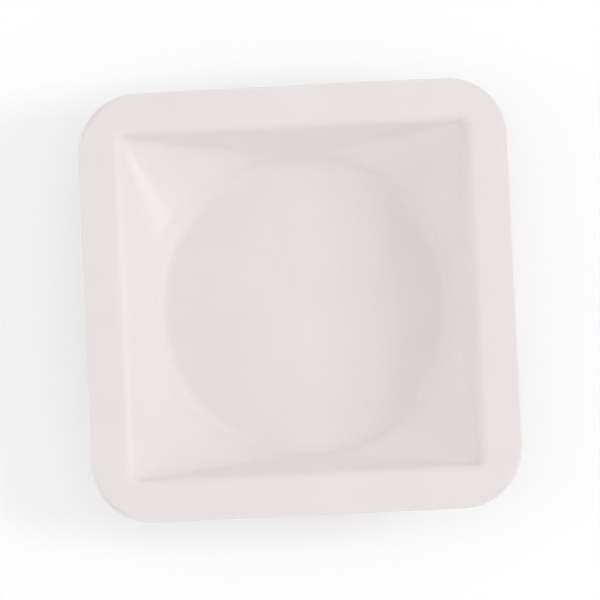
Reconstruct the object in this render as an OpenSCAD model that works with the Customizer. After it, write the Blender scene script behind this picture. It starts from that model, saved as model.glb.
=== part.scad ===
// Square weighing boat: one thin moulded shell of polystyrene.
// A flat rim surrounds a square mouth. Inside it the wall folds down steeply to a flat floor
// that is nearly round. Each side of the wall is a plane that narrows towards the floor, and
// each corner between two sides is part of a cone, shallow enough to pour from.

/* [Boat] */
// Side of the square, over the rim
side = 41; // [38:0.5:60]
// Height from the underside of the floor to the top of the rim
height = 8; // [7:0.25:10]
// Thickness of the moulded shell
wall = 0.35; // [0.25:0.05:0.6]

/* [Rim] */
// Radius of the rim's outer corners in plan
corner_radius = 5.8; // [4:0.1:9]
// Width of the rim, from its outer edge to the mouth
rim_width = 3.2; // [2:0.1:4]
// Angle that the rim has turned down by at its outer edge
rim_droop = 3; // [1:1:20]

/* [Basin] */
// Radius of the mouth's corners in plan
mouth_radius = 1.6; // [1.5:0.1:4]
// Radius of the fold from the rim down into the wall
lip_radius = 1; // [0.7:0.1:1.5]
// Slope of the wall halfway along a side
wall_slope = 71; // [55:1:75]
// How round the wall is at its foot, from a square to a circle
foot_roundness = 0.97; // [0.6:0.01:0.99]
// Radius of the sweep from the wall's foot into the floor
floor_sweep = 1.6; // [0.5:0.1:3]

/* [Hidden] */

corner_facets = 20;
rim_facets = 4;
edge_facets = 6;
lip_facets = 8;
sweep_facets = 10;

// Width of the flat ring by which the shell runs into the floor plate
floor_overlap = 1;

mouth_half = side / 2 - rim_width;

// The section halfway along a side is a chain of stations on the upper face of the shell, from
// the rim's outer edge inwards. A station is [distance from the middle, height, slope], and
// the slope is positive where the face falls inwards.

// Stations along an arc that starts from one station and turns to the slope `to`
function arc(start, radius, to, facets) =
    let (from = start[2], turn = sign(to - from) * radius)
    [for (i = [1:facets])
        let (slope = from + (to - from) * i / facets)
        [start[0] - turn * (sin(slope) - sin(from)),
         start[1] - turn * (cos(from) - cos(slope)),
         slope]];

// The station at the far end of a straight, which keeps its slope
function straight(start, length) =
    [start[0] - length * cos(start[2]), start[1] - length * sin(start[2]), start[2]];

function last(list) = list[len(list) - 1];
function all_but_last(list) = [for (i = [0:len(list) - 2]) list[i]];

// The rim's crown ends level at the mouth, and its half round outer edge reaches side / 2
rim_outer = side / 2 - wall / 2 * (1 - sin(rim_droop));
rim_crown_radius = (rim_outer - mouth_half) / sin(rim_droop);
rim_start = [rim_outer, height - rim_crown_radius * (1 - cos(rim_droop)), -rim_droop];

// Length that is left for the plane of the wall, once the two arcs have taken their height
arcs_drop = (lip_radius + floor_sweep) * (1 - cos(wall_slope));
wall_length = (height - wall - arcs_drop) / sin(wall_slope);

rim_path = concat([rim_start], arc(rim_start, rim_crown_radius, 0, rim_facets));
lip_path = arc(last(rim_path), lip_radius, wall_slope, lip_facets);
wall_top = last(lip_path);
wall_foot = straight(wall_top, wall_length);
sweep_path = arc(wall_foot, floor_sweep, 0, sweep_facets);
floor_edge = [last(sweep_path)[0], wall, 0];
floor_inset = [floor_edge[0] - floor_overlap, wall, 0];
upper_path = concat(
    rim_path, lip_path, [wall_foot], all_but_last(sweep_path), [floor_edge, floor_inset]);

top_half = wall_top[0];
foot_half = wall_foot[0];
top_radius = mouth_radius - (mouth_half - top_half);
foot_radius = foot_half * foot_roundness;

// Corner radius, in plan, of the level that passes through a station. It changes evenly across
// the rim and down the wall, which makes each side a plane and each corner part of a cone. The
// corners of the lip and of the sweep keep their centres, so each fold has the same section
// all the way round.
function mix(a, b, share) = a + (b - a) * share;
function level_radius(x) =
    x > mouth_half ? mix(mouth_radius, corner_radius, (x - mouth_half) / rim_width)
    : x > top_half ? mouth_radius - (mouth_half - x)
    : x > foot_half ? mix(top_radius, foot_radius, (top_half - x) / (top_half - foot_half))
    : foot_radius - (foot_half - x);

// A level is [half width, corner radius, height]
function upper_level(station) = [station[0], level_radius(station[0]), station[1]];

// The lower face lies one wall thickness away, square to the slope
function lower_level(station) =
    let (shift = wall * sin(station[2]))
    [station[0] + shift, level_radius(station[0]) + shift, station[1] - wall * cos(station[2])];

// The rim's outer edge is half round, from the upper face over to the lower one
rim_edge_levels = [for (i = [1:edge_facets - 1])
    let (
        turn = 90 - rim_droop - 180 * i / edge_facets,
        centre_x = rim_start[0] - wall / 2 * sin(rim_droop),
        centre_z = rim_start[1] - wall / 2 * cos(rim_droop))
    [centre_x + wall / 2 * cos(turn), corner_radius, centre_z + wall / 2 * sin(turn)]];

// From the floor's edge up and out over the rim, and back under it to the base
levels = concat(
    [for (i = [len(upper_path) - 1:-1:0]) upper_level(upper_path[i])],
    rim_edge_levels,
    [for (station = upper_path) lower_level(station)]);

// Points of one level: a quarter circle at each corner, joined by straight sides
function level_points(level) =
    let (centre = level[0] - level[1])
    [for (corner = [0:3]) for (i = [0:corner_facets])
        let (
            turn = corner * 90,
            x = centre + level[1] * cos(90 * i / corner_facets),
            y = centre + level[1] * sin(90 * i / corner_facets))
        [x * cos(turn) - y * sin(turn), x * sin(turn) + y * cos(turn), level[2]]];

ring_size = 4 * (corner_facets + 1);

// Two triangles for each step along the ring of points that starts at `ring`, up to the ring
// that starts at `next_ring`
function band(ring, next_ring) =
    [for (i = [0:ring_size - 1])
        let (j = (i + 1) % ring_size)
        each [[ring + i, ring + j, next_ring + i],
              [ring + j, next_ring + j, next_ring + i]]];

// Rim, wall and a flat ring of the floor. The last band closes the shell inside that ring
module shell() {
    last_ring = (len(levels) - 1) * ring_size;
    polyhedron(
        points = [for (level = levels) each level_points(level)],
        faces = concat(
            [for (k = [0:len(levels) - 2]) each band(k * ring_size, (k + 1) * ring_size)],
            band(last_ring, 0)),
        convexity = 4);
}

module floor_plate() {
    linear_extrude(wall)
        polygon([for (p = level_points(upper_level(floor_edge))) [p[0], p[1]]]);
}

module boat() {
    color([0.86, 0.84, 0.84])
        union() {
            shell();
            floor_plate();
        }
}

boat();
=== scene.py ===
import math

import bpy
from mathutils import Matrix, Vector, noise


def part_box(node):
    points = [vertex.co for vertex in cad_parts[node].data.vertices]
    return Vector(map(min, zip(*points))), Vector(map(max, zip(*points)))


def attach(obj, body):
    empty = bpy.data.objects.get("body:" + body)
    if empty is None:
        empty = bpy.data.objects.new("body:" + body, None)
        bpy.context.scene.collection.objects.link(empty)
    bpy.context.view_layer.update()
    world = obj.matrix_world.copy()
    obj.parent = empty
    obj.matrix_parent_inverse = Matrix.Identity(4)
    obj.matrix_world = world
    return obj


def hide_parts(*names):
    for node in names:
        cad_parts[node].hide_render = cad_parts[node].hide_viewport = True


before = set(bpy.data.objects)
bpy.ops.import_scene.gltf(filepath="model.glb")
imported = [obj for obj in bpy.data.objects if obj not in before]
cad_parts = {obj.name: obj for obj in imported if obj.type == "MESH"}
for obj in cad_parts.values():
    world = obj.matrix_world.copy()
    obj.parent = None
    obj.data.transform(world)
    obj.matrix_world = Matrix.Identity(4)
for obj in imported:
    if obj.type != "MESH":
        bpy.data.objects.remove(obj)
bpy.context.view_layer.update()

MM = 0.001
low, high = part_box("boat")
SIDE = (high.x - low.x) / MM
HEIGHT = (high.z - low.z) / MM

# The shell's section in millimetres and degrees, as in part.scad
WALL = 0.35
CORNER_RADIUS = 5.8
RIM_WIDTH = 3.2
RIM_DROOP = 3
MOUTH_RADIUS = 1.6
LIP_RADIUS = 1
WALL_SLOPE = 71
FLOOR_SWEEP = 1.6
FOOT_ROUNDNESS = 0.97
MOUTH_HALF = SIDE / 2 - RIM_WIDTH

# Steps of the mesh along the section, from the rim's outer edge to the middle of the floor
EDGE_STEPS = 8
RIM_STEPS = 8
LIP_STEPS = 12
WALL_STEPS = 9
SWEEP_STEPS = 14
FLOOR_RINGS = 10

# Steps of the mesh round each corner and along each side
CORNER_STEPS = 28
SIDE_STEPS = 16

# How far the sheet wanders from the true shape, and over what length, in millimetres. It is
# true below one height and wanders fully above another.
WANDER = 0.05
WANDER_LENGTH = 9
WANDER_START = Vector((3.1, 7.7, 1.3))
RIPPLE = 0.012
RIPPLE_LENGTH = 3.2
RIPPLE_START = Vector((8.4, 2.6, 5.9))
TRUE_BELOW = 1
FULL_ABOVE = 4
NOISE_SEED = 7

# The stage in metres, and brightness as a share of the white background
STAGE_HALF = 3.0
STAGE_GAP = 0.02 * MM
STAGE_LIFT = 0.2
AMBIENT = 0.737
LAMP_DISTANCE = 0.6


def sine(angle):
    return math.sin(math.radians(angle))


def cosine(angle):
    return math.cos(math.radians(angle))


def add_mesh(name, vertices, faces, material):
    mesh = bpy.data.meshes.new(name)
    mesh.from_pydata(vertices, [], faces)
    mesh.materials.append(material)
    thing = bpy.data.objects.new(name, mesh)
    bpy.context.collection.objects.link(thing)
    return thing


# ---------------------------------------------------------------- shape

def arc(start, radius, to, steps):
    """Stations (distance from the middle, height, slope) along an arc that turns to a slope."""
    x, z, slope = start
    turn = math.copysign(radius, to - slope)
    angles = [slope + (to - slope) * i / steps for i in range(1, steps + 1)]
    return [
        (x - turn * (sine(a) - sine(slope)), z - turn * (cosine(slope) - cosine(a)), a)
        for a in angles
    ]


def straight(start, length, steps):
    """Stations along a straight, which keeps its slope."""
    x, z, slope = start
    return [
        (x - length * cosine(slope) * i / steps, z - length * sine(slope) * i / steps, slope)
        for i in range(1, steps + 1)
    ]


def upper_path():
    """The section of the upper face, from the rim's outer edge in to the floor's edge.

    Returns its stations, and the half widths at the top and at the foot of the straight wall.
    """
    rim_outer = SIDE / 2 - WALL / 2 * (1 - sine(RIM_DROOP))
    crown = (rim_outer - MOUTH_HALF) / sine(RIM_DROOP)
    arcs_drop = (LIP_RADIUS + FLOOR_SWEEP) * (1 - cosine(WALL_SLOPE))
    wall_length = (HEIGHT - WALL - arcs_drop) / sine(WALL_SLOPE)
    path = [(rim_outer, HEIGHT - crown * (1 - cosine(RIM_DROOP)), -RIM_DROOP)]
    path += arc(path[-1], crown, 0, RIM_STEPS)
    path += arc(path[-1], LIP_RADIUS, WALL_SLOPE, LIP_STEPS)
    top_half = path[-1][0]
    path += straight(path[-1], wall_length, WALL_STEPS)
    foot_half = path[-1][0]
    path += arc(path[-1], FLOOR_SWEEP, 0, SWEEP_STEPS)
    return path, top_half, foot_half


def level_radius(x, top_half, foot_half):
    """Corner radius in plan of the level that passes x along the section."""
    top_radius = MOUTH_RADIUS - (MOUTH_HALF - top_half)
    foot_radius = foot_half * FOOT_ROUNDNESS
    if x > MOUTH_HALF:
        share = (x - MOUTH_HALF) / RIM_WIDTH
        return MOUTH_RADIUS + (CORNER_RADIUS - MOUTH_RADIUS) * share
    if x > top_half:
        return MOUTH_RADIUS - (MOUTH_HALF - x)
    if x > foot_half:
        share = (top_half - x) / (top_half - foot_half)
        return top_radius + (foot_radius - top_radius) * share
    return foot_radius - (foot_half - x)


def rim_edge_levels(rim_level):
    """The rim's outer edge is half round, from the upper face over to the lower one."""
    rim_half, _, rim_z = rim_level
    centre_half = rim_half - WALL / 2 * sine(RIM_DROOP)
    centre_z = rim_z - WALL / 2 * cosine(RIM_DROOP)
    levels = []
    for i in range(1, EDGE_STEPS):
        turn = 90 - RIM_DROOP - 180 * i / EDGE_STEPS
        half = centre_half + WALL / 2 * cosine(turn)
        z = centre_z + WALL / 2 * sine(turn)
        levels.append((half, CORNER_RADIUS, z))
    return levels


def lower_level(level, slope):
    """The lower face lies one wall thickness away, square to the slope."""
    half, radius, z = level
    shift = WALL * sine(slope)
    return half + shift, radius + shift, z - WALL * cosine(slope)


def shell_levels():
    """Levels (half width, corner radius, height), out over the rim and back under it."""
    path, top_half, foot_half = upper_path()
    upper = [(x, level_radius(x, top_half, foot_half), z) for x, z, _ in path]
    lower = [lower_level(level, slope) for level, (_, _, slope) in zip(upper, path)]
    return upper[::-1] + rim_edge_levels(upper[0]) + lower


def ring_points(half, radius, z):
    """One level of the shell: a quarter circle at each corner and points along each side."""
    centre = half - radius
    points = []
    for corner in range(4):
        turn = Matrix.Rotation(math.pi / 2 * corner, 2)
        for i in range(CORNER_STEPS + 1):
            a = 90 * i / CORNER_STEPS
            points.append(turn @ Vector((centre + radius * cosine(a), centre + radius * sine(a))))
        for i in range(1, SIDE_STEPS):
            points.append(turn @ Vector((centre * (1 - 2 * i / SIDE_STEPS), half)))
    return [Vector((p.x, p.y, z)) for p in points]


def floor_rings(level):
    """Rings across one face of the floor, from its middle out to the level at its edge."""
    half, radius, z = level
    shares = [(i + 0.5) / (FLOOR_RINGS + 0.5) for i in range(FLOOR_RINGS)]
    return [ring_points(half * share, radius * share, z) for share in shares]


def moulded(p):
    """A moulded sheet is never quite true: the rim and walls wander, and the floor doesn't."""
    share = min(max((p.z - TRUE_BELOW) / (FULL_ABOVE - TRUE_BELOW), 0), 1)
    wander = noise.noise_vector(p / WANDER_LENGTH + WANDER_START)
    ripple = noise.noise_vector(p / RIPPLE_LENGTH + RIPPLE_START)
    return p + share * (WANDER * wander + RIPPLE * ripple)


def skin(ring_count, ring_size):
    """Faces between each ring and the next, and one that closes each end."""
    faces = [tuple(range(ring_size))]
    for k in range(ring_count - 1):
        ring = k * ring_size
        next_ring = ring + ring_size
        for i in range(ring_size):
            j = (i + 1) % ring_size
            faces.append((ring + i, next_ring + i, next_ring + j, ring + j))
    last_ring = (ring_count - 1) * ring_size
    faces.append(tuple(reversed(range(last_ring, last_ring + ring_size))))
    return faces


def build_boat():
    # Without a seed the noise starts from the time of day
    noise.seed_set(NOISE_SEED)
    levels = shell_levels()
    rings = floor_rings(levels[0])
    rings += [ring_points(*level) for level in levels]
    rings += reversed(floor_rings(levels[-1]))
    vertices = [moulded(p) * MM for ring in rings for p in ring]
    shell = add_mesh("boat_shell", vertices, skin(len(rings), len(rings[0])), polystyrene())
    shell.data.shade_smooth()
    return shell


# ---------------------------------------------------------------- materials

class Nodes:
    """A short way to add and join the shader nodes of a material or the world."""

    def __init__(self, owner):
        owner.use_nodes = True
        self.tree = owner.node_tree
        self.tree.nodes.clear()

    def add(self, kind, inputs=None, **settings):
        node = self.tree.nodes.new(kind)
        for key, value in settings.items():
            setattr(node, key, value)
        for key, value in (inputs or {}).items():
            if isinstance(value, bpy.types.NodeSocket):
                self.tree.links.new(value, node.inputs[key])
            else:
                node.inputs[key].default_value = value
        return node


def polystyrene():
    """Off-white plastic: a faint cloud in its tone and gloss, a fine grain and a thin coat."""
    material = bpy.data.materials.new("polystyrene")
    n = Nodes(material)
    place = n.add("ShaderNodeTexCoord").outputs["Object"]
    cloud = n.add("ShaderNodeTexNoise", {"Vector": place, "Scale": 160, "Detail": 3})
    grain = n.add("ShaderNodeTexNoise", {"Vector": place, "Scale": 3200, "Detail": 2})
    tone = n.add("ShaderNodeValToRGB", {"Fac": cloud.outputs["Fac"]})
    tone.color_ramp.elements[0].position = 0.3
    tone.color_ramp.elements[0].color = (0.872, 0.826, 0.827, 1)
    tone.color_ramp.elements[1].position = 0.7
    tone.color_ramp.elements[1].color = (0.888, 0.844, 0.845, 1)
    gloss = n.add("ShaderNodeMapRange", {
        "Value": cloud.outputs["Fac"], "From Min": 0.3, "From Max": 0.7,
        "To Min": 0.42, "To Max": 0.54,
    })
    relief = n.add("ShaderNodeBump", {
        "Height": grain.outputs["Fac"], "Strength": 0.12, "Distance": 0.00004,
    })
    plastic = n.add("ShaderNodeBsdfPrincipled", {
        "Base Color": tone.outputs["Color"],
        "Roughness": gloss.outputs["Result"],
        "Normal": relief.outputs["Normal"],
        "Subsurface Weight": 1.0,
        "Subsurface Radius": (1.0, 1.0, 1.0),
        "Subsurface Scale": 0.00015,
        "IOR": 1.5,
        "Specular IOR Level": 0.4,
        "Coat Weight": 0.1,
        "Coat Roughness": 0.12,
    })
    n.add("ShaderNodeOutputMaterial", {"Surface": plastic.outputs["BSDF"]})
    return material


def white_sheet():
    """Matt white, lifted towards the background's white where it is seen or mirrored."""
    material = bpy.data.materials.new("white_sheet")
    n = Nodes(material)
    ray = n.add("ShaderNodeLightPath")
    seen = n.add("ShaderNodeMath", {
        0: ray.outputs["Is Camera Ray"], 1: ray.outputs["Is Glossy Ray"],
    }, operation="MAXIMUM")
    gain = n.add("ShaderNodeMath", {
        0: seen.outputs["Value"], 1: STAGE_LIFT,
    }, operation="MULTIPLY")
    sheet = n.add("ShaderNodeBsdfDiffuse", {"Color": (0.88, 0.88, 0.88, 1)})
    lift = n.add("ShaderNodeEmission", {
        "Color": (1, 1, 1, 1), "Strength": gain.outputs["Value"],
    })
    both = n.add("ShaderNodeAddShader", {0: sheet.outputs["BSDF"], 1: lift.outputs["Emission"]})
    n.add("ShaderNodeOutputMaterial", {"Surface": both.outputs["Shader"]})
    return material


# ---------------------------------------------------------------- stage

def white_floor():
    """A white sheet that lies just under the boat and takes its shadow."""
    under = low.z - STAGE_GAP
    ends = (-STAGE_HALF, STAGE_HALF)
    corners = [(x, y, under) for y in ends for x in ends]
    floor = add_mesh("floor", corners, [(0, 1, 3, 2)], white_sheet())


def white_world():
    """Even soft light from all round, and a white background for the camera."""
    world = bpy.data.worlds.new("world")
    bpy.context.scene.world = world
    n = Nodes(world)
    ray = n.add("ShaderNodeLightPath")
    strength = n.add("ShaderNodeMapRange", {
        "Value": ray.outputs["Is Camera Ray"], "To Min": AMBIENT, "To Max": 1.0,
    })
    sky = n.add("ShaderNodeBackground", {
        "Color": (1, 1, 1, 1), "Strength": strength.outputs["Result"],
    })
    n.add("ShaderNodeOutputWorld", {"Surface": sky.outputs["Background"]})


def soft_box(name, azimuth, elevation, size, level, gloss_only=False):
    """A square lamp that faces the boat.

    Level is the light that it gives a sheet that faces it. A lamp for gloss only shows in the
    plastic's shine and adds no even light.
    """
    lamp = bpy.data.lights.new(name, "AREA")
    lamp.size = size
    lamp.energy = level * (math.pi * LAMP_DISTANCE) ** 2
    away = Vector((
        cosine(azimuth) * cosine(elevation),
        sine(azimuth) * cosine(elevation),
        sine(elevation),
    ))
    light = bpy.data.objects.new(name, lamp)
    light.location = away * LAMP_DISTANCE
    light.rotation_euler = away.to_track_quat("Z", "Y").to_euler()
    light.visible_diffuse = not gloss_only
    bpy.context.collection.objects.link(light)


def camera():
    """Looks down into the boat from its near right, a little turned."""
    aim = Vector((0, 0, HEIGHT * MM))
    away = Vector((0.042, -0.08, 0.996)).normalized()
    distance = 1.0
    roll = -2.6
    lens_data = bpy.data.cameras.new("camera")
    lens_data.lens = 632
    lens_data.sensor_width = 36
    lens_data.clip_start = 0.01
    lens_data.clip_end = 20
    view = bpy.data.objects.new("camera", lens_data)
    level = Vector((0, 1, 0)).cross(away).normalized()
    right = Matrix.Rotation(math.radians(roll), 3, away) @ level
    up = away.cross(right)
    turn = Matrix((right, up, away)).transposed()
    view.matrix_world = Matrix.Translation(aim + away * distance) @ turn.to_4x4()
    bpy.context.collection.objects.link(view)
    bpy.context.scene.camera = view


bpy.context.scene.view_settings.view_transform = "Standard"

boat = build_boat()
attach(boat, "root")
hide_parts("boat")

white_floor()
white_world()
soft_box("key", azimuth=0, elevation=34, size=0.2, level=0.221)
soft_box("fill", azimuth=180, elevation=27, size=0.2, level=0.077)
soft_box("top", azimuth=0, elevation=89, size=0.6, level=0.045)
soft_box("glint", azimuth=-25, elevation=24, size=0.15, level=0.16, gloss_only=True)
camera()
